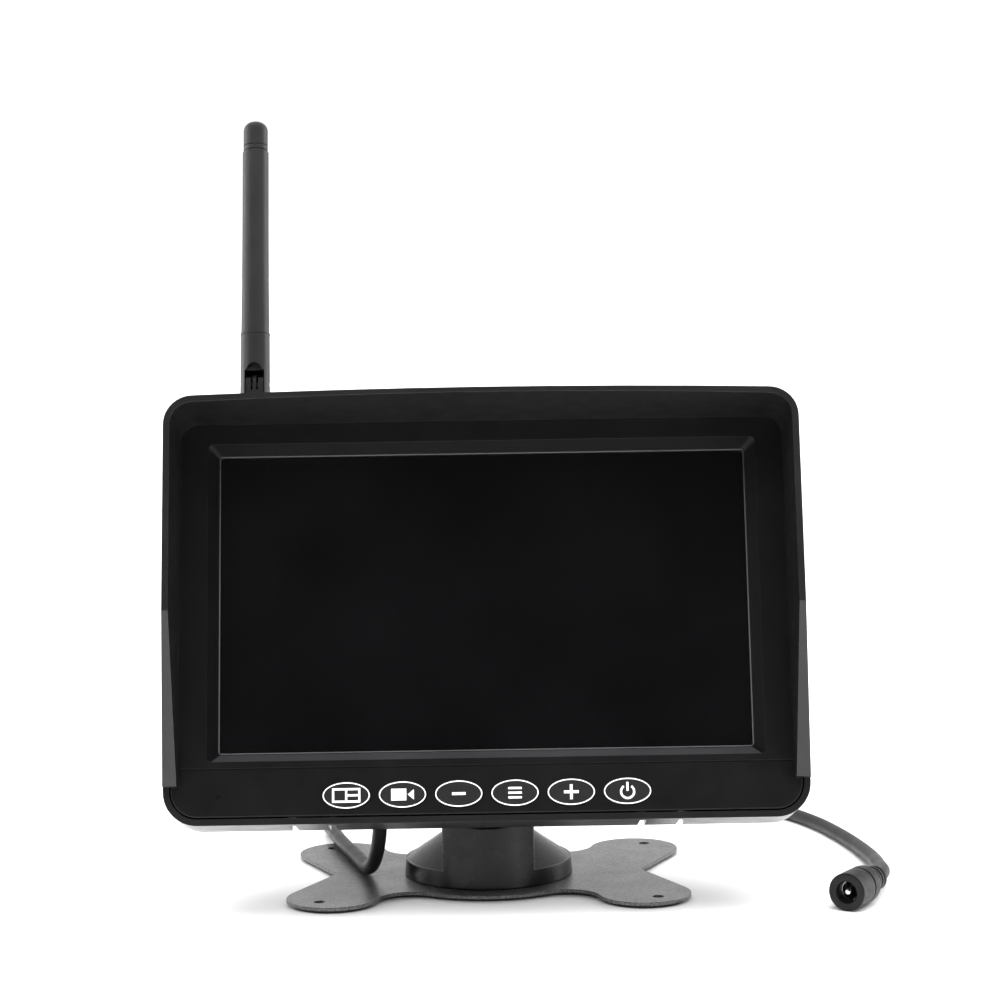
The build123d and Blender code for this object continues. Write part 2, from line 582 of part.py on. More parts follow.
# ---- tilt head -----------------------------------------------------------------------------
def tilt_head():
    z0 = -HINGE_BELOW
    ear_in = TONGUE_W / 2 + 0.15
    ear_out = ear_in + EAR_W
    tee_back = HUMP_BACK + 0.3 + TEE_THICK
    yoke_front = HUMP_BACK + RAIL_DEPTH + 2.2 + 0.3
    yoke_back = HINGE_BACK - TONGUE_R - 0.5
    half = TEE_H / 2
    web_half = RAIL_HALF - RAIL_LIP - SLIP
    head = block((-RAIL_HALF + SLIP, RAIL_HALF - SLIP), (HUMP_BACK + 0.3, tee_back),
                 (z0 - half, z0 + half))
    head += block((-web_half, web_half), (tee_back - 0.5, yoke_front + 0.5), (z0 - 10, z0 + 9))
    head += block((-ear_out, ear_out), (yoke_front, yoke_back), (z0 - EAR_R, z0 + EAR_R))
    for side in (-1, 1):
        span = sorted((side * ear_in, side * ear_out))
        head += block(span, (yoke_back - 0.5, HINGE_BACK), (z0 - EAR_R, z0 + EAR_R))
        head += rod_x(HINGE_BACK, z0, EAR_R, *span)
    return head - rod_x(HINGE_BACK, z0, BOLT_R + RUNNING, -20, 20)


def tilt_bolt():
    ear_out = TONGUE_W / 2 + 0.15 + EAR_W
    return rod_x(HINGE_BACK, -HINGE_BELOW, BOLT_R, -ear_out - BOLT_NUT_THICK - 1.5, ear_out + 8.0)


def tilt_nut():
    ear_out = TONGUE_W / 2 + 0.15 + EAR_W
    plane = Plane(origin=(-ear_out - BOLT_NUT_THICK, HINGE_BACK, -HINGE_BELOW), x_dir=(0, 1, 0),
                  z_dir=(1, 0, 0))
    nut = extrude(plane * RegularPolygon(BOLT_NUT_R, 6), BOLT_NUT_THICK)
    return nut - rod_x(HINGE_BACK, -HINGE_BELOW, BOLT_R + RUNNING, -30, 0)


def tilt_knob():
    left = TONGUE_W / 2 + 0.15 + EAR_W + 0.3
    plane = Plane(origin=(left, HINGE_BACK, -HINGE_BELOW), x_dir=(0, 1, 0), z_dir=(1, 0, 0))
    collar = 2.0
    knob = extrude(plane * Circle(KNOB_R - 3), collar + 0.1)
    grip = extrude(plane.offset(collar) * Circle(KNOB_R), KNOB_THICK - collar)
    grip = fillet(grip.faces().sort_by(Axis.X)[-1].edges(), 1.0)
    for index in range(KNOB_LOBES):
        angle = radians(index * 360 / KNOB_LOBES)
        dent = plane.offset(collar - 0.1) * Pos((KNOB_R + 1.2) * cos(angle),
                                                (KNOB_R + 1.2) * sin(angle)) * Circle(2.2)
        grip -= extrude(dent, KNOB_THICK + 1)
    knob += grip
    return knob - rod_x(HINGE_BACK, -HINGE_BELOW, BOLT_R, left - 1,
                        TONGUE_W / 2 + 0.15 + EAR_W + 8.0)


# ---- stand ---------------------------------------------------------------------------------
def bridge_centre():
    """Centre of the arc that joins the hub and a lobe, outside both circles."""
    far_hub, far_lobe = HUB_R + BRIDGE_R, LOBE_R + BRIDGE_R
    span = sqrt(LOBE_X ** 2 + LOBE_Y ** 2)
    along = (far_hub ** 2 - far_lobe ** 2 + span ** 2) / (2 * span)
    across = sqrt(far_hub ** 2 - along ** 2)
    ux, uy = LOBE_X / span, LOBE_Y / span
    return (along * ux - across * uy, along * uy + across * ux)


def lobe_tangent():
    """Where the straight edge from the notch meets a lobe's circle."""
    dx, dy = LOBE_X - NOTCH_X, LOBE_Y
    span = sqrt(dx ** 2 + dy ** 2)
    length = sqrt(span ** 2 - LOBE_R ** 2)
    angle = atan2(dy, dx) - asin(LOBE_R / span)
    return (NOTCH_X + length * cos(angle), length * sin(angle))


def butterfly(inset):
    """Outline of the base plate: a round hub and four lobes, with a notch at each side."""
    bridge, tangent = bridge_centre(), lobe_tangent()
    wing = make_face(Polyline((0, 0), (NOTCH_X, 0), tangent, (LOBE_X, LOBE_Y), close=True))
    web = make_face(Polyline((0, 0), (LOBE_X, LOBE_Y), bridge, close=True))
    web -= Pos(*bridge) * Circle(BRIDGE_R)
    quarter = wing + web + Pos(LOBE_X, LOBE_Y) * Circle(LOBE_R)
    half = quarter + mirror(quarter, about=Plane.XZ)
    outline = Circle(HUB_R) + half + mirror(half, about=Plane.YZ)
    outline = Sketch() + outline.faces()
    notches = [v for v in outline.vertices() if abs(abs(v.X) - NOTCH_X) < 0.01 and abs(v.Y) < 0.01]
    outline = fillet(notches, NOTCH_R)
    if inset:
        outline = offset(outline, -inset)
    return outline


def corner_holes(radius, low, high):
    holes = None
    for x in (-HOLE_X, HOLE_X):
        for y in (-HOLE_Y, HOLE_Y):
            hole = rod_z(x, y, radius, low, high)
            holes = hole if holes is None else holes + hole
    return holes


def base_plate():
    plate = extrude(Plane.XY.offset(PAD_THICK) * butterfly(0.0), PLATE_THICK)
    plate = chamfer(plate.faces().sort_by(Axis.Z)[-1].edges(), 0.15)
    plate -= corner_holes(HOLE_R, PAD_THICK - 0.1, PLATE_TOP + 0.1)
    return plate - rod_z(0, 0, RIVET_R + RUNNING, PAD_THICK - 0.1, PLATE_TOP + 0.1)


def adhesive_pad():
    pad = extrude(butterfly(PAD_INSET), PAD_THICK)
    pad -= corner_holes(HOLE_R + 1.3, -0.1, PAD_THICK + 0.1)
    recess_floor = PAD_THICK - RIVET_HEAD_THICK - 0.1
    return pad - rod_z(0, 0, RIVET_HEAD_R + 1.0, recess_floor, PAD_THICK + 0.1)


def swivel_rivet():
    head_low = PAD_THICK - RIVET_HEAD_THICK - 0.05
    rivet = rod_z(0, 0, RIVET_HEAD_R, head_low, head_low + RIVET_HEAD_THICK)
    return rivet + rod_z(0, 0, RIVET_R, head_low + RIVET_HEAD_THICK, PLATE_TOP + 7.0)


def swivel_washer():
    washer = rod_z(0, 0, WASHER_R, PLATE_TOP, PLATE_TOP + WASHER_THICK)
    return washer - rod_z(0, 0, RIVET_R + RUNNING, PLATE_TOP - 0.1, PLATE_TOP + WASHER_THICK + 0.1)


def pedestal():
    low = PLATE_TOP + PLATE_GAP
    ring_top = low + RING_H
    ring = rod_z(0, 0, RING_R, low, ring_top, RING_R - RING_DRAFT)
    cone = rod_z(0, 0, RING_R - RING_DRAFT - 0.5, ring_top - 0.05, CONE_TOP_Z, CONE_TOP_R)
    front = RING_R - RING_DRAFT / RING_H * (SHOULDER_Z - low) - 0.1
    column = profile_x([(-RING_R, low), (-front, SHOULDER_Z), (-17.0, SHOULDER_Z + 4.5),
                        (-8.0, COLUMN_TOP_Z), (8.0, COLUMN_TOP_Z), (17.0, SHOULDER_Z + 4.5),
                        (front, SHOULDER_Z), (RING_R, low)], COLUMN_W / 2)
    column &= rod_z(0, 0, RING_R, low, COLUMN_TOP_Z, RING_R - RING_DRAFT / RING_H * (COLUMN_TOP_Z - low))
    verticals = [e for e in column.edges() if abs(abs(e.center().X) - COLUMN_W / 2) < 0.01
                 and e.length > 12 and abs(e.center().Y) > 3 and e.center().Z > 8]
    column = fillet(verticals, 1.2)
    body = ring + cone + column
    tongue = profile_x([(-8.0, COLUMN_TOP_Z - 2), (-TONGUE_R, HINGE_HEIGHT), (TONGUE_R, HINGE_HEIGHT),
                        (8.0, COLUMN_TOP_Z - 2)], TONGUE_W / 2)
    tongue += rod_x(0, HINGE_HEIGHT, TONGUE_R, -TONGUE_W / 2, TONGUE_W / 2)
    body += tongue
    body -= rod_x(0, HINGE_HEIGHT, BOLT_R + RUNNING, -10, 10)
    body -= rod_z(0, 0, RING_R - 3.0, low - 0.1, low + 2.6)
    body += rod_z(0, 0, WASHER_R, PLATE_TOP + WASHER_THICK, low + 3.0)
    return body - rod_z(0, 0, RIVET_R, low - 0.1, PLATE_TOP + 7.0)


# ---- power lead ----------------------------------------------------------------------------
def gland_end():
    """Where the cable leaves its strain relief, in the row frame."""
    reach = GLAND_LENGTH / sqrt(2)
    y = HUMP_BACK - HUMP_SLOPE / 2 + reach
    z = HUMP_BOTTOM + HUMP_SLOPE / 2 - reach
    return (GLAND_X, SCREEN_Y + y * TILT_COS + z * TILT_SIN, SCREEN_Z - y * TILT_SIN + z * TILT_COS)


def along_gland(distance):
    """A point past the gland's end, on its axis."""
    end = Vector(*gland_end())
    down = Vector(0, TILT_COS - TILT_SIN, -TILT_SIN - TILT_COS) / sqrt(2)
    return tuple(end + down * distance)


CABLE_ROUTE = [
    gland_end(),
    along_gland(9.6),
    (-36.1, -8.6, 4.2),
    (-41.0, 11.0, 4.5),
    (-47.5, 34.0, 4.5),
    (-51.5, 52.0, 4.7),
    (-54.0, 70.0, 2.4),
    (-48.0, 88.0, 2.3),
    (-31.0, 100.5, 2.3),
    (-6.0, 106.0, 2.3),
    (24.0, 105.0, 2.3),
    (54.0, 103.0, 2.3),
    (81.5, 97.0, 2.3),
    (100.0, 84.5, 2.3),
    (109.6, 64.5, 2.3),
    (115.8, 41.5, 2.3),
    (119.4, 21.0, 2.4),
    (120.7, 4.0, 3.1),
    (120.0, -11.5, 4.5),
    tuple(SOCKET_END + SOCKET_AXIS * 6.5),
    tuple(SOCKET_END),
]


def cable_radii(points):
    """Each corner's radius: 0.45 of its shorter run, divided by the tangent of half its turn."""
    radii = []
    for before, corner, after in zip(points, points[1:], points[2:]):
        run_in = Vector(*corner) - Vector(*before)
        run_out = Vector(*after) - Vector(*corner)
        half_turn = radians(run_in.get_angle(run_out)) / 2
        shorter = min(run_in.length, run_out.length)
        radii.append(0.45 * shorter * cos(half_turn) / sin(half_turn))
    return radii


def power_cable():
    radii = cable_radii(CABLE_ROUTE)
    route = FilletPolyline(*CABLE_ROUTE, radius=radii)
    section = Plane(origin=route @ 0, z_dir=route % 0) * Circle(CABLE_D / 2)
    cable = sweep(section, path=route)
    area = section.area
    print("cable radii", [round(radius, 1) for radius in radii])
    print("cable length", round(route.length, 1), "volume ratio",
          round(cable.volume / (area * route.length), 4))
    return cable


def on_socket(shape):
    """Places a shape drawn along +Z from the socket's face onto the socket's axis."""
    return Plane(origin=SOCKET_FACE, z_dir=SOCKET_AXIS) * shape


def dc_socket_body():
    """Front barrel, a narrow groove, then a collar with a rounded shoulder."""
    collar_start = SOCKET_BODY
    collar_end = collar_start + SOCKET_COLLAR
    groove, groove_deep, collar_r, shoulder = 0.7, 0.7, SOCKET_R - 0.1, 1.6
    body = rod_z(0, 0, SOCKET_R, 0, collar_start)
    body = fillet(body.edges().filter_by(GeomType.CIRCLE), 0.35)
    collar = rod_z(0, 0, collar_r, collar_start + groove, collar_end)
    collar = fillet(collar.edges().filter_by(GeomType.CIRCLE).sort_by(Axis.Z)[-1], shoulder)
    body += collar + rod_z(0, 0, SOCKET_R - groove_deep, collar_start - 0.5, collar_start + groove + 0.5)
    body -= Cylinder(SOCKET_BORE_R, 2 * SOCKET_BORE_DEPTH)
    return body - rod_z(0, 0, SOCKET_MOUTH_R, -0.1, 1.0, SOCKET_BORE_R)


def dc_socket_relief():
    start = SOCKET_BODY + SOCKET_COLLAR
    ribs, pitch, rib = 4, SOCKET_RELIEF / 4, 1.3
    relief = rod_z(0, 0, 3.1, start, start + SOCKET_RELIEF)
    for index in range(ribs):
        radius = 4.1 - 0.12 * index
        ring = rod_z(0, 0, radius, start + index * pitch + 0.2, start + index * pitch + 0.2 + rib)
        relief += fillet(ring.edges().filter_by(GeomType.CIRCLE), 0.3)
    return relief


def dc_socket_contact():
    """Thin sprung sleeve that lines the bore."""
    outer = SOCKET_BORE_R
    start, end = SOCKET_CONTACT_START, SOCKET_BORE_DEPTH
    sleeve = rod_z(0, 0, outer, start, end) - rod_z(0, 0, outer - 0.25, start - 0.1, end + 0.1)
    return sleeve - block((-0.5, 0.5), (0, outer + 1), (start - 0.1, end - 1.5))


def dc_socket_pin():
    pin = rod_z(0, 0, SOCKET_PIN_R, 0.8, SOCKET_BORE_DEPTH)
    return fillet(pin.edges().filter_by(GeomType.CIRCLE).sort_by(Axis.Z)[0], 0.6)


# ---- build ---------------------------------------------------------------------------------
def build_monitor():
    keep("front_bezel", front_bezel())
    keep("rear_case", rear_case())
    keep("sun_hood", sun_hood())
    keep("lcd_panel", slab(LCD_W, -LCD_H / 2, LCD_H / 2, LCD_FRONT, LCD_FRONT + LCD_THICK, 0.5))
    keep("lcd_backlight", backlight())
    keep("key_board", key_board())
    keep("tact_switches", tact_switches())
    keep("main_board", main_board())
    keep("board_parts", board_parts())
    keep("rf_shield", block(*RF_BOX))
    keep("rf_coax", rf_coax())
    keep("case_screws", case_screws())
    keep("status_lens", rod_y(DOT_X, DOT_Z, DOT_R, FACE_FRONT + 0.2, FACE_BACK + 1.5))
    keep("cable_gland", gland_shape(0.0))
    keep("antenna_jack", antenna_jack())
    keep("antenna_jack_nut", hexagon(NUT_FLATS, NUT_LOW, NUT_LOW + NUT_THICK, THREAD_R + 0.05))
    keep("tilt_head", tilt_head())
    keep("tilt_nut", tilt_nut())
    for index, name in enumerate(KEY_NAMES):
        keep("key_" + name, key_cap(index))


def build_antenna():
    keep("antenna_barrel", antenna_barrel())
    keep("antenna_knuckle", antenna_knuckle())
    keep("antenna_fork", antenna_fork())
    keep("antenna_sheath", antenna_sheath())
    keep("antenna_cap", antenna_cap())
    keep("antenna_element", antenna_element())
    keep("antenna_hinge_pin", Pos(ANTENNA_X, ANTENNA_Y, 0) * rod_x(0, PIVOT_Z, PIN_R, -4.5, 4.5))


def build_knob():
    keep("tilt_bolt", tilt_bolt())
    keep("tilt_knob", tilt_knob())


def main():
    build_monitor()
    build_antenna()
    build_knob()
    for name in list(parts):
        parts[name] = in_monitor(parts[name])
    keep("pedestal", pedestal())
    keep("base_plate", base_plate())
    keep("adhesive_pad", adhesive_pad())
    keep("swivel_rivet", swivel_rivet())
    keep("swivel_washer", swivel_washer())
    keep("power_cable", power_cable())
    keep("dc_socket_body", on_socket(dc_socket_body()))
    keep("dc_socket_relief", on_socket(dc_socket_relief()))
    keep("dc_socket_contact", on_socket(dc_socket_contact()))
    keep("dc_socket_pin", on_socket(dc_socket_pin()))
    os.makedirs("parts", exist_ok=True)
    for name, shape in parts.items():
        export_step(shape, "parts/" + name + ".step")


main()
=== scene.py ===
from math import cos, pi, radians, sin

import bmesh
import bpy
from mathutils import Matrix, Vector


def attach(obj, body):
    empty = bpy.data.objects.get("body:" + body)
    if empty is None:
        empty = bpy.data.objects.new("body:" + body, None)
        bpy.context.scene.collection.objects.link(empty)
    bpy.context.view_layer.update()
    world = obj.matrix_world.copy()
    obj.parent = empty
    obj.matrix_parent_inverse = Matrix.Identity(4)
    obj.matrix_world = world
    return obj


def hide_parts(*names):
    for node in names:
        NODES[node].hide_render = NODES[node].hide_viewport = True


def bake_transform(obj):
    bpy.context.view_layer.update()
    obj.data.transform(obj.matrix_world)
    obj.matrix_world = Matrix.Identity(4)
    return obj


# Looks of the dash-top reversing monitor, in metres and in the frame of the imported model.
MM = 0.001
TILT = radians(17.0)
HINGE = Vector((0, 0, 55.5)) * MM
HINGE_IN_MONITOR = Vector((0, 44.0, -24.2)) * MM
FACE = -5.0 * MM
KEY_FACE = -5.3 * MM
KEY_Z = -57.6 * MM
KEY_PITCH = 16.3 * MM
KEYS = ["mode", "channel", "minus", "menu", "plus", "power"]
OPENING = (156.0 * MM, 88.6 * MM)
LIP_LINE = 0.36 * MM
LIP_CLEAR = 0.04 * MM
PRINT_PROUD = 0.02 * MM
SYMBOL_LINE = 0.62 * MM
CABLE_D = 4.4 * MM
# Control points of the power lead's centreline, in millimetres.
CABLE_ROUTE = [
    (-32.7, -20.7, 25.5),
    (-32.7, -16.2, 17.0),
    (-36.1, -8.6, 4.2),
    (-41.0, 11.0, 4.5),
    (-47.5, 34.0, 4.5),
    (-51.5, 52.0, 4.7),
    (-54.0, 70.0, 2.4),
    (-48.0, 88.0, 2.3),
    (-31.0, 100.5, 2.3),
    (-6.0, 106.0, 2.3),
    (24.0, 105.0, 2.3),
    (54.0, 103.0, 2.3),
    (81.5, 97.0, 2.3),
    (100.0, 84.5, 2.3),
    (109.6, 64.5, 2.3),
    (115.8, 41.5, 2.3),
    (119.4, 21.0, 2.4),
    (120.7, 4.0, 3.1),
    (120.0, -11.5, 4.5),
    (119.6, -26.9, 5.7),
    (116.2, -32.5, 5.7),
]

CAMERA_PLACE = Vector((2.4, -835.4, 192.6)) * MM
# Pitch, roll and yaw in degrees; lens and sensor width in millimetres.
CAMERA_TURN = (-5.1, 0.9, -0.2)
CAMERA_LENS = 98.1
SENSOR_WIDTH = 36.0
FLOOR_REACH = 30.0
# Brightness of the studio from the camera's side (0) to behind the monitor (1).
STUDIO_STOPS = [(0.0, 0.05), (0.3, 0.1), (0.5, 0.5), (0.65, 1.0), (1.0, 1.15)]
STUDIO_STRENGTH = 0.9
BACKDROP_STRENGTH = 1.05
# Noise values rarely leave this span, so it is stretched over the whole range of a property.
NOISE_LOW, NOISE_HIGH = 0.3, 0.7

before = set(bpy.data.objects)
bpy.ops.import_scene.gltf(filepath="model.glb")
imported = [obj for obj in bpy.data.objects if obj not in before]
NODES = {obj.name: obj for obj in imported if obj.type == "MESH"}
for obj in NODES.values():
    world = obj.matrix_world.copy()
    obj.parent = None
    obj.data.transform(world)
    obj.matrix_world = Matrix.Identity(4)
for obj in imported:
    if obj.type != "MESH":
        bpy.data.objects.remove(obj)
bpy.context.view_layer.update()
SCENE = bpy.context.scene
# Turns a point in the monitor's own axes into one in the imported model's frame.
MONITOR = (
    Matrix.Translation(HINGE)
    @ Matrix.Rotation(-TILT, 4, "X")
    @ Matrix.Translation(-HINGE_IN_MONITOR)
)


# ---- materials -----------------------------------------------------------------------------
class Finish:
    """One procedural material: a Principled shader and the nodes that feed it."""

    def __init__(self, name):
        self.material = bpy.data.materials.new(name)
        self.material.use_nodes = True
        self.tree = self.material.node_tree
        self.shader = self.tree.nodes["Principled BSDF"]
        self.coords = self.node("ShaderNodeTexCoord").outputs["Object"]

    def node(self, kind, **inputs):
        made = self.tree.nodes.new(kind)
        for key, value in inputs.items():
            made.inputs[key.replace("_", " ")].default_value = value
        return made

    def link(self, output, socket):
        self.tree.links.new(output, socket)

    def noise(self, size, detail=2.0, roughness=0.5):
        """Noise whose features are about size metres across."""
        made = self.node("ShaderNodeTexNoise", Scale=1.0 / size, Detail=detail, Roughness=roughness)
        self.link(self.coords, made.inputs["Vector"])
        return made.outputs["Fac"]

    def cells(self, size):
        """Rounded cells about size metres across."""
        made = self.node("ShaderNodeTexVoronoi", Scale=1.0 / size)
        self.link(self.coords, made.inputs["Vector"])
        return made.outputs["Distance"]

    def tint(self, value, low, high, start=NOISE_LOW, end=NOISE_HIGH):
        """Base colour that wanders between two colours."""
        ramp = self.node("ShaderNodeValToRGB")
        ramp.color_ramp.elements[0].position = start
        ramp.color_ramp.elements[0].color = (*low, 1)
        ramp.color_ramp.elements[1].position = end
        ramp.color_ramp.elements[1].color = (*high, 1)
        self.link(value, ramp.inputs["Fac"])
        self.link(ramp.outputs["Color"], self.shader.inputs["Base Color"])

    def rough(self, value, low, high):
        """Roughness that wanders between two values."""
        span = self.node("ShaderNodeMapRange", From_Min=NOISE_LOW, From_Max=NOISE_HIGH, To_Min=low,
                         To_Max=high)
        self.link(value, span.inputs["Value"])
        self.link(span.outputs["Result"], self.shader.inputs["Roughness"])

    def relief(self, heights, edge=0.0):
        """Bumps from (value, depth in metres) pairs, over edges rounded by edge metres."""
        normal = None
        if edge:
            bevel = self.node("ShaderNodeBevel", Radius=edge)
            bevel.samples = 6
            normal = bevel.outputs["Normal"]
        for value, depth in heights:
            bump = self.node("ShaderNodeBump", Strength=1.0, Distance=depth)
            self.link(value, bump.inputs["Height"])
            if normal is not None:
                self.link(normal, bump.inputs["Normal"])
            normal = bump.outputs["Normal"]
        if normal is not None:
            self.link(normal, self.shader.inputs["Normal"])

    def fixed(self, **values):
        for key, value in values.items():
            self.shader.inputs[key.replace("_", " ")].default_value = value


def moulded(name, shade, rough, grain=0.25, depth=0.006, edge=0.3, specular=0.5, coat=0.0):
    """Moulded plastic or rubber with fine grain and faint patches; sizes in millimetres."""
    made = Finish(name)
    grain_noise = made.noise(grain * MM, 3.0, 0.6)
    patches = made.noise(22 * MM, 4.0)
    made.tint(patches, [c * 0.86 for c in shade], [c * 1.16 for c in shade])
    made.rough(made.noise(7 * MM, 5.0), rough - 0.05, rough + 0.06)
    made.relief([(patches, 0.05 * MM), (grain_noise, depth * MM)], edge * MM)
    made.fixed(Specular_IOR_Level=specular, Coat_Weight=coat, Coat_Roughness=0.2)
    return made.material


def metal(name, color, rough, brush=(1.0, 1.0, 1.0)):
    """Plated or brushed metal with fine tool marks and slightly uneven shine."""
    made = Finish(name)
    stretch = made.node("ShaderNodeMapping", Scale=brush)
    made.link(made.coords, stretch.inputs["Vector"])
    marks = made.node("ShaderNodeTexNoise", Scale=9000.0, Detail=3.0)
    made.link(stretch.outputs["Vector"], marks.inputs["Vector"])
    wear = made.noise(3 * MM, 4.0)
    made.tint(wear, [c * 0.9 for c in color], [min(1.0, c * 1.06) for c in color])
    made.rough(wear, rough - 0.06, rough + 0.08)
    made.relief([(marks.outputs["Fac"], 0.002 * MM)], 0.15 * MM)
    made.fixed(Metallic=1.0)
    return made.material


def powder_coat():
    """Satin black powder coat: orange peel and fine grain that sparkles at a low angle."""
    made = Finish("powder_coat")
    peel = made.noise(1.1 * MM, 2.0)
    fine = made.noise(0.75 * MM, 3.0, 0.7)
    made.tint(fine, (0.015, 0.015, 0.016), (0.12, 0.12, 0.123), 0.4, 0.62)
    made.rough(made.noise(12 * MM, 4.0), 0.27, 0.36)
    made.relief([(peel, 0.05 * MM), (fine, 0.07 * MM)], 0.2 * MM)
    made.fixed(Specular_IOR_Level=0.9)
    return made.material


def screen_gloss():
    """Switched-off panel: near-black glass with a faint anti-glare bloom and wiping smears."""
    made = Finish("screen_gloss")
    smear = made.noise(45 * MM, 5.0, 0.55)
    made.tint(smear, (0.0019, 0.0019, 0.0022), (0.003, 0.003, 0.0035), 0.35, 0.75)
    made.rough(smear, 0.13, 0.26)
    made.relief([(made.noise(0.12 * MM, 2.0), 0.0008 * MM)])
    made.fixed(Specular_IOR_Level=0.35)
    return made.material


def leathery(name, shade, rough):
    """Textured vinyl moulding with a pebbled skin."""
    made = Finish(name)
    pebble = made.cells(0.42 * MM)
    made.tint(made.noise(2.5 * MM, 3.0), [c * 0.8 for c in shade], [c * 1.25 for c in shade])
    made.rough(made.noise(1.5 * MM, 3.0), rough - 0.06, rough + 0.08)
    made.relief([(pebble, 0.03 * MM), (made.noise(0.15 * MM, 3.0), 0.008 * MM)], 0.3 * MM)
    made.fixed(Specular_IOR_Level=0.28)
    return made.material


def print_ink():
    """White pad print, slightly uneven in cover."""
    made = Finish("print_ink")
    cover = made.noise(0.5 * MM, 4.0)
    made.tint(cover, (0.86, 0.86, 0.86), (0.95, 0.95, 0.95), 0.35, 0.6)
    made.rough(cover, 0.45, 0.6)
    made.relief([(made.noise(0.1 * MM, 2.0), 0.002 * MM)])
    return made.material


def board_green():
    """Solder mask over soft rounded ridges."""
    made = Finish("board_green")
    tracks = made.cells(2.2 * MM)
    made.tint(tracks, (0.01, 0.09, 0.03), (0.02, 0.17, 0.06), 0.1, 0.55)
    made.rough(made.noise(1.0 * MM), 0.3, 0.45)
    made.relief([(tracks, 0.03 * MM)])
    return made.material


def foam():
    """Closed-cell foam with pores of uneven depth."""
    made = Finish("foam")
    pores = made.cells(0.35 * MM)
    made.tint(pores, (0.012, 0.012, 0.012), (0.04, 0.04, 0.04), 0.1, 0.6)
    made.rough(pores, 0.8, 0.95)
    made.relief([(pores, 0.08 * MM)])
    return made.material


def smoked_lens():
    """Dark window over the status light, which is off."""
    made = Finish("smoked_lens")
    made.tint(made.noise(0.6 * MM), (0.004, 0.004, 0.0044), (0.007, 0.007, 0.0075))
    made.rough(made.noise(0.3 * MM), 0.08, 0.2)
    made.relief([(made.noise(0.2 * MM), 0.001 * MM)])
    return made.material


def paint(material, *names):
    for name in names:
        node = NODES[name]
        node.data.materials.clear()
        node.data.materials.append(material)


def paint_mouldings():
    paint(moulded("case_plastic", (0.0038, 0.0038, 0.0043), 0.42, specular=0.25), "front_bezel")
    paint(moulded("cover_plastic", (0.008, 0.008, 0.0086), 0.36, grain=0.3, specular=0.35,
                  coat=0.35),
          "rear_case")
    paint(moulded("hood_plastic", (0.0078, 0.0078, 0.0085), 0.38, grain=0.3), "sun_hood")
    paint(screen_gloss(), "lcd_panel")
    paint(moulded("stand_plastic", (0.004, 0.004, 0.0044), 0.28, grain=0.3, depth=0.004, edge=0.5,
                  specular=0.3),
          "pedestal", "tilt_head")
    paint(moulded("knob_plastic", (0.01, 0.01, 0.0105), 0.42, grain=0.2), "tilt_knob")
    paint(moulded("key_rubber", (0.0066, 0.0066, 0.007), 0.55, grain=0.12, depth=0.004, edge=0.12),
          *["key_" + key for key in KEYS])
    paint(moulded("antenna_plastic", (0.0165, 0.0165, 0.0172), 0.42, grain=0.3, depth=0.014,
                  edge=0.25),
          "antenna_fork", "antenna_sheath", "antenna_cap")
    paint(moulded("barrel_plastic", (0.014, 0.014, 0.0148), 0.42, grain=0.2, depth=0.004, edge=0.2),
          "antenna_barrel", "antenna_knuckle")
    paint(moulded("gland_rubber", (0.014, 0.014, 0.0145), 0.5, grain=0.15, edge=0.25), "cable_gland")


def paint_plate_and_socket():
    paint(powder_coat(), "base_plate")
    paint(leathery("socket_vinyl", (0.0038, 0.0038, 0.004), 0.42), "dc_socket_body")
    paint(leathery("relief_vinyl", (0.0038, 0.0038, 0.004), 0.42), "dc_socket_relief")
    paint(metal("socket_nickel", (0.75, 0.74, 0.72), 0.2), "dc_socket_contact", "dc_socket_pin")


def paint_metals():
    paint(metal("zinc_steel", (0.5, 0.5, 0.51), 0.35, brush=(1.0, 12.0, 1.0)),
          "tilt_bolt", "tilt_nut", "case_screws", "swivel_rivet", "antenna_hinge_pin")
    paint(metal("jack_nickel", (0.66, 0.65, 0.62), 0.25), "antenna_jack_nut")
    paint(metal("jack_gold", (0.78, 0.58, 0.28), 0.25), "antenna_jack", "antenna_element")
    paint(metal("tray_steel", (0.62, 0.62, 0.6), 0.3, brush=(1.0, 1.0, 20.0)),
          "lcd_backlight", "rf_shield")


def paint_small_pieces():
    paint(board_green(), "main_board", "key_board")
    paint(moulded("chip_epoxy", (0.02, 0.02, 0.02), 0.6, grain=0.1),
          "board_parts", "tact_switches", "rf_coax")
    paint(foam(), "adhesive_pad")
    paint(moulded("nylon", (0.7, 0.69, 0.65), 0.5, grain=0.3), "swivel_washer")
    paint(smoked_lens(), "status_lens")


# ---- printed marks and painted highlights --------------------------------------------------
def flat_mesh(name, faces, thickness, material, body):
    """A thin flat piece on the monitor's face, from polygons of (x, y, z) in monitor axes."""
    bm = bmesh.new()
    for polygon in faces:
        bm.faces.new([bm.verts.new(MONITOR @ Vector(point)) for point in polygon])
    bmesh.ops.remove_doubles(bm, verts=bm.verts, dist=0.001 * MM)
    bmesh.ops.recalc_face_normals(bm, faces=bm.faces)
    mesh = bpy.data.meshes.new(name)
    bm.to_mesh(mesh)
    bm.free()
    piece = bpy.data.objects.new(name, mesh)
    SCENE.collection.objects.link(piece)
    mesh.materials.append(material)
    solid = piece.modifiers.new("thickness", "SOLIDIFY")
    solid.thickness = thickness
    solid.offset = 0.0
    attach(piece, body)


def arc_band(centre, radii, width, start, end, y, steps):
    """Quads along an elliptical arc of that line width, measured inwards from the radii."""
    quads = []
    for index in range(steps):
        a = start + (end - start) * index / steps
        b = start + (end - start) * (index + 1) / steps
        quad = []
        for angle, inset in [(a, 0.0), (b, 0.0), (b, width), (a, width)]:
            x = centre[0] + (radii[0] - inset) * cos(angle)
            z = centre[1] + (radii[1] - inset) * sin(angle)
            quad.append((x, y, z))
        quads.append(quad)
    return quads


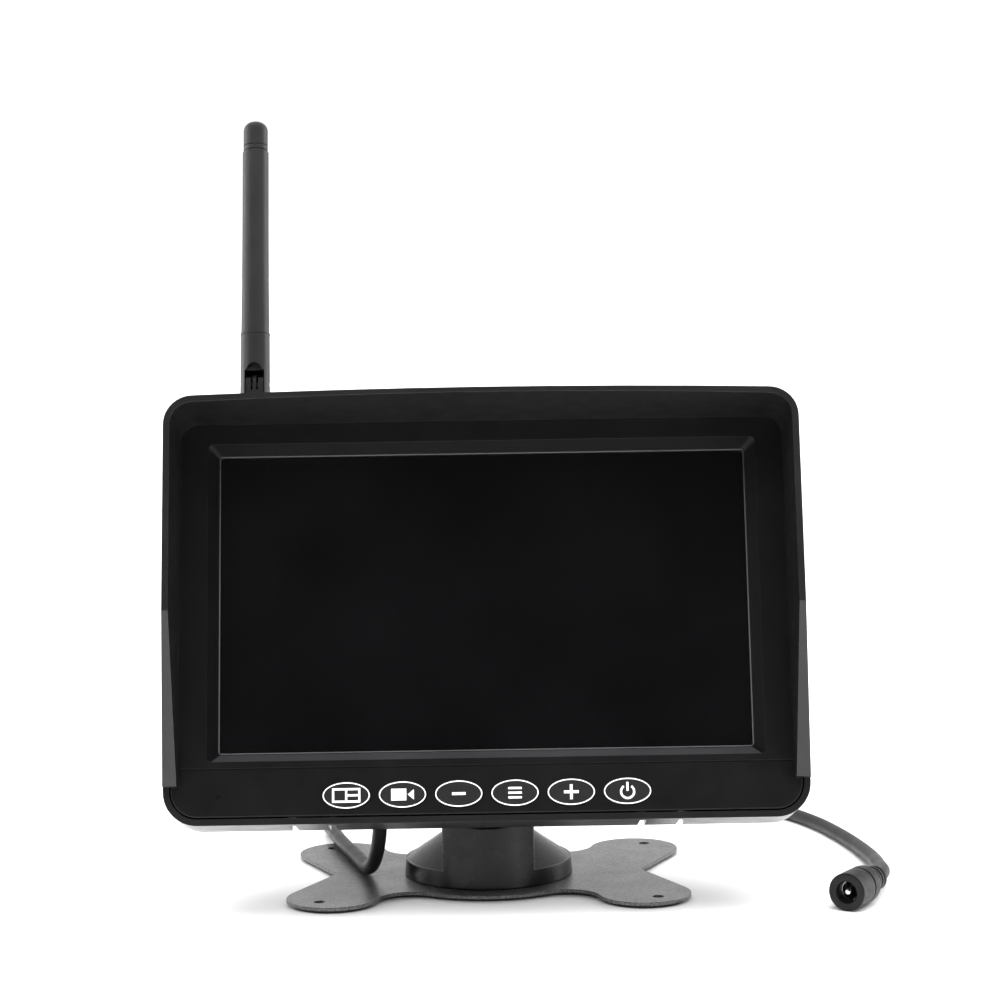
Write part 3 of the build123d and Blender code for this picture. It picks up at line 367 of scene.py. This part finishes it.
def bar(centre, width, height, y):
    """One upright rectangle, in a list."""
    x, z = centre
    half_w, half_h = width / 2, height / 2
    return [[(x - half_w, y, z - half_h), (x + half_w, y, z - half_h),
             (x + half_w, y, z + half_h), (x - half_w, y, z + half_h)]]


def box_outline(centre, width, height, line, y):
    """Four bars that frame a rectangle, within its width and height."""
    x, z = centre
    edge_x, edge_z = (width - line) / 2, (height - line) / 2
    inner = height - 2 * line
    return (bar((x, z + edge_z), width, line, y) + bar((x, z - edge_z), width, line, y)
            + bar((x - edge_x, z), line, inner, y) + bar((x + edge_x, z), line, inner, y))


def split_screen_symbol(x, y):
    outline = box_outline((x, KEY_Z), 8.2 * MM, 4.2 * MM, SYMBOL_LINE, y)
    upright = bar((x, KEY_Z), SYMBOL_LINE, 3.0 * MM, y)
    return outline + upright + bar((x + 2.0 * MM, KEY_Z), 3.4 * MM, SYMBOL_LINE, y)


def camera_symbol(x, y):
    lens_start, lens_end, lens_half = x + 1.5 * MM, x + 3.3 * MM, 1.5 * MM
    lens = [(lens_start, y, KEY_Z), (lens_end, y, KEY_Z - lens_half),
            (lens_end, y, KEY_Z + lens_half)]
    return bar((x - 1.1 * MM, KEY_Z), 4.4 * MM, 3.4 * MM, y) + [lens]


def minus_symbol(x, y):
    return bar((x, KEY_Z), 3.9 * MM, 0.8 * MM, y)


def list_symbol(x, y):
    row_pitch = 1.35 * MM
    rows = [bar((x, KEY_Z + step * row_pitch), 3.9 * MM, SYMBOL_LINE, y) for step in (-1, 0, 1)]
    return rows[0] + rows[1] + rows[2]


def plus_symbol(x, y):
    span, arm = 4.3 * MM, 0.8 * MM
    side = (span - arm) / 2
    reach = (side + arm) / 2
    return (bar((x, KEY_Z), span, arm, y) + bar((x, KEY_Z + reach), arm, side, y)
            + bar((x, KEY_Z - reach), arm, side, y))


def power_symbol(x, y):
    radius, half_gap = 2.2 * MM, radians(35)
    ring = arc_band((x, KEY_Z - 0.2 * MM), (radius, radius), SYMBOL_LINE, pi / 2 + half_gap,
                    5 * pi / 2 - half_gap, y, 40)
    return ring + bar((x, KEY_Z + 1.3 * MM), SYMBOL_LINE, 2.6 * MM, y)


# Generic pictograms in place of words.
SYMBOLS = {
    "mode": split_screen_symbol,
    "channel": camera_symbol,
    "minus": minus_symbol,
    "menu": list_symbol,
    "plus": plus_symbol,
    "power": power_symbol,
}


def key_prints():
    """An elliptical ring and a symbol on each key."""
    ink = print_ink()
    ring_radii, ring_line, ring_steps = (6.83 * MM, 3.78 * MM), 0.33 * MM, 72
    y = KEY_FACE - PRINT_PROUD / 2
    for index, key in enumerate(KEYS):
        x = (index - (len(KEYS) - 1) / 2) * KEY_PITCH
        ring = arc_band((x, KEY_Z), ring_radii, ring_line, 0.0, 2 * pi, y, ring_steps)
        flat_mesh("print_" + key, ring + SYMBOLS[key](x, y), PRINT_PROUD, ink, "key_" + key)


def painted_lip_highlight():
    """A painted highlight round the screen opening: a thin light grey line on the black bezel, where
    the edge of the opening catches the light.
    """
    width, height = OPENING
    # Its light grey is painted highlight; the edge of the opening is the bezel's own black plastic.
    edge = moulded("lip_highlight_paint", (0.085, 0.085, 0.088), 0.3, grain=0.2, depth=0.003, edge=0.1)
    faces = box_outline((0.0, 0.0), width + 2 * LIP_LINE, height + 2 * LIP_LINE, LIP_LINE,
                        -LIP_CLEAR)
    flat_mesh("painted_lip_highlight", faces, 0.06 * MM, edge, "monitor")


def painted_sill_highlight():
    """A painted highlight on the slope below the screen, from just outside the lip to the bezel's
    face: a light grey sheet on the bezel's black chamfer, where the chamfer catches the light from
    above, with a roughness a little lower than the bezel's.
    """
    width, height = OPENING
    side, below, start = 3.3 * MM, 3.0 * MM, 0.6 * MM
    inner_x, inner_z = width / 2 + start, -height / 2 - start
    outer_x, outer_z = width / 2 + side, -height / 2 - below
    inner_y = (start - LIP_LINE) / (side - LIP_LINE) * FACE - 2 * LIP_CLEAR
    sill = [(-outer_x, FACE, outer_z), (outer_x, FACE, outer_z),
            (inner_x, inner_y, inner_z), (-inner_x, inner_y, inner_z)]
    # The light grey is painted highlight; the chamfer is the bezel's own black plastic.
    highlight_finish = moulded("sill_highlight_paint", (0.036, 0.036, 0.038), 0.35, grain=0.2, depth=0.003, edge=0.1)
    flat_mesh("painted_sill_highlight", [sill], 0.04 * MM, highlight_finish, "monitor")


# ---- power lead ----------------------------------------------------------------------------
def smooth_route(points):
    """The lead's centreline, from a NURBS curve that its control points pull into shape."""
    curve = bpy.data.curves.new("lead_route", "CURVE")
    curve.dimensions = "3D"
    curve.resolution_u = 14
    spline = curve.splines.new("NURBS")
    spline.points.add(len(points) - 1)
    for point, place in zip(spline.points, points):
        point.co = (*[value * MM for value in place], 1.0)
    spline.order_u = 3
    spline.use_endpoint_u = True
    holder = bpy.data.objects.new("lead_route", curve)
    mesh = bpy.data.meshes.new_from_object(holder)
    line = [vertex.co.copy() for vertex in mesh.vertices]
    bpy.data.objects.remove(holder)
    bpy.data.meshes.remove(mesh)
    return line


def tube(name, line, radius, sides=24):
    """A round tube along a line, its section carried along without twisting."""
    bm = bmesh.new()
    side = Vector((1, 0, 0))
    turns = [2 * pi * k / sides for k in range(sides)]
    rings = []
    for index, place in enumerate(line):
        ahead = line[min(index + 1, len(line) - 1)]
        behind = line[max(index - 1, 0)]
        along = (ahead - behind).normalized()
        side = (side - along * side.dot(along)).normalized()
        up = along.cross(side)
        around = [place + (side * cos(turn) + up * sin(turn)) * radius for turn in turns]
        rings.append([bm.verts.new(point) for point in around])
    for first, second in zip(rings, rings[1:]):
        for k in range(sides):
            bm.faces.new((first[k], first[(k + 1) % sides], second[(k + 1) % sides], second[k]))
    bm.faces.new(list(reversed(rings[0])))
    bm.faces.new(rings[-1])
    bmesh.ops.recalc_face_normals(bm, faces=bm.faces)
    mesh = bpy.data.meshes.new(name)
    bm.to_mesh(mesh)
    bm.free()
    for face in mesh.polygons:
        face.use_smooth = len(face.vertices) == 4
    piece = bpy.data.objects.new(name, mesh)
    SCENE.collection.objects.link(piece)
    return piece


def power_lead():
    line = smooth_route(CABLE_ROUTE)
    lead = tube("power_lead", line, CABLE_D / 2)
    jacket = moulded("cable_jacket", (0.012, 0.012, 0.0128), 0.42, grain=0.4, depth=0.004, edge=0.0,
                     specular=0.25)
    lead.data.materials.append(jacket)
    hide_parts("power_cable")
    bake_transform(lead)


# ---- set -----------------------------------------------------------------------------------
def floor():
    far = FLOOR_REACH
    corners = [(-far, -far, 0), (far, -far, 0), (far, far, 0), (-far, far, 0)]
    mesh = bpy.data.meshes.new("floor")
    mesh.from_pydata(corners, [], [(0, 1, 2, 3)])
    plane = bpy.data.objects.new("floor", mesh)
    SCENE.collection.objects.link(plane)
    made = Finish("floor_white")
    made.tint(made.noise(0.4, 2.0), (0.86, 0.86, 0.86), (0.88, 0.88, 0.88))
    made.fixed(Roughness=0.6, Specular_IOR_Level=0.2)
    mesh.materials.append(made.material)


def area_light(name, place, target, size, watts):
    """A rectangular lamp at a place, turned towards a target."""
    light = bpy.data.lights.new(name, "AREA")
    light.shape = "RECTANGLE"
    light.size, light.size_y = size
    light.energy = watts
    lamp = bpy.data.objects.new(name, light)
    SCENE.collection.objects.link(lamp)
    lamp.location = place
    lamp.rotation_euler = (Vector(target) - Vector(place)).to_track_quat("-Z", "Y").to_euler()


def sun_light(name, direction, angle, strength):
    """A broad sun, angle degrees wide, that leaves no reflection of itself."""
    light = bpy.data.lights.new(name, "SUN")
    light.energy = strength
    light.angle = radians(angle)
    lamp = bpy.data.objects.new(name, light)
    SCENE.collection.objects.link(lamp)
    lamp.rotation_euler = Vector(direction).to_track_quat("-Z", "Y").to_euler()
    lamp.visible_glossy = False


def studio_shade(tree):
    """Grey that follows the direction's Y, through the studio's stops."""
    coords = tree.nodes.new("ShaderNodeTexCoord")
    split = tree.nodes.new("ShaderNodeSeparateXYZ")
    shift = tree.nodes.new("ShaderNodeMapRange")
    shift.inputs["From Min"].default_value = -1.0
    ramp = tree.nodes.new("ShaderNodeValToRGB")
    elements = ramp.color_ramp.elements
    while len(elements) < len(STUDIO_STOPS):
        elements.new(0.5)
    for element, (place, value) in zip(elements, STUDIO_STOPS):
        element.position = place
        element.color = (value, value, value, 1)
    tree.links.new(coords.outputs["Generated"], split.inputs["Vector"])
    tree.links.new(split.outputs["Y"], shift.inputs["Value"])
    tree.links.new(shift.outputs["Result"], ramp.inputs["Fac"])
    return ramp.outputs["Color"]


def surroundings():
    """A studio that is bright behind the monitor and dim in front; the camera sees plain white."""
    world = bpy.data.worlds.new("studio")
    SCENE.world = world
    world.use_nodes = True
    tree = world.node_tree
    tree.nodes.clear()
    lit = tree.nodes.new("ShaderNodeBackground")
    tree.links.new(studio_shade(tree), lit.inputs["Color"])
    lit.inputs["Strength"].default_value = STUDIO_STRENGTH
    seen = tree.nodes.new("ShaderNodeBackground")
    seen.inputs["Color"].default_value = (1, 1, 1, 1)
    seen.inputs["Strength"].default_value = BACKDROP_STRENGTH
    path = tree.nodes.new("ShaderNodeLightPath")
    mix = tree.nodes.new("ShaderNodeMixShader")
    out = tree.nodes.new("ShaderNodeOutputWorld")
    tree.links.new(path.outputs["Is Camera Ray"], mix.inputs["Fac"])
    tree.links.new(lit.outputs["Background"], mix.inputs[1])
    tree.links.new(seen.outputs["Background"], mix.inputs[2])
    tree.links.new(mix.outputs["Shader"], out.inputs["Surface"])


def lights():
    """Two broad suns for the overall level, two strips for glints and two panels for the sides."""
    sun_light("top_light", direction=(0.0, 0.3, -1.0), angle=75, strength=5.5)
    sun_light("front_fill", direction=(0.0, 1.0, -0.7), angle=150, strength=1.3)
    area_light("left_strip", (-0.96, -0.28, 0.35), (0, 0, 0.12), size=(0.14, 0.9), watts=1.6)
    area_light("right_strip", (0.63, -0.78, 0.3), (0, 0, 0.15), size=(0.12, 0.7), watts=1.0)
    area_light("left_edge", (-0.9, 0.35, 0.35), (0, 0, 0.1), size=(0.3, 0.9), watts=3.0)
    area_light("right_edge", (0.9, 0.35, 0.35), (0, 0, 0.1), size=(0.3, 0.9), watts=3.0)


def camera():
    data = bpy.data.cameras.new("camera")
    data.sensor_width = SENSOR_WIDTH
    data.lens = CAMERA_LENS
    data.clip_start, data.clip_end = 0.01, 60.0
    eye = bpy.data.objects.new("camera", data)
    SCENE.collection.objects.link(eye)
    pitch, roll, yaw = [radians(degrees) for degrees in CAMERA_TURN]
    turn = (Matrix.Rotation(yaw, 4, "Z") @ Matrix.Rotation(pitch, 4, "X")
            @ Matrix.Rotation(roll, 4, "Y"))
    upright = Matrix.Rotation(pi / 2, 4, "X")
    eye.matrix_world = Matrix.Translation(CAMERA_PLACE) @ turn @ upright
    SCENE.camera = eye


def main():
    camera()
    power_lead()
    paint_mouldings()
    paint_plate_and_socket()
    paint_metals()
    paint_small_pieces()
    key_prints()
    painted_lip_highlight()
    painted_sill_highlight()
    floor()
    surroundings()
    lights()
    SCENE.view_settings.view_transform = "Standard"


main()
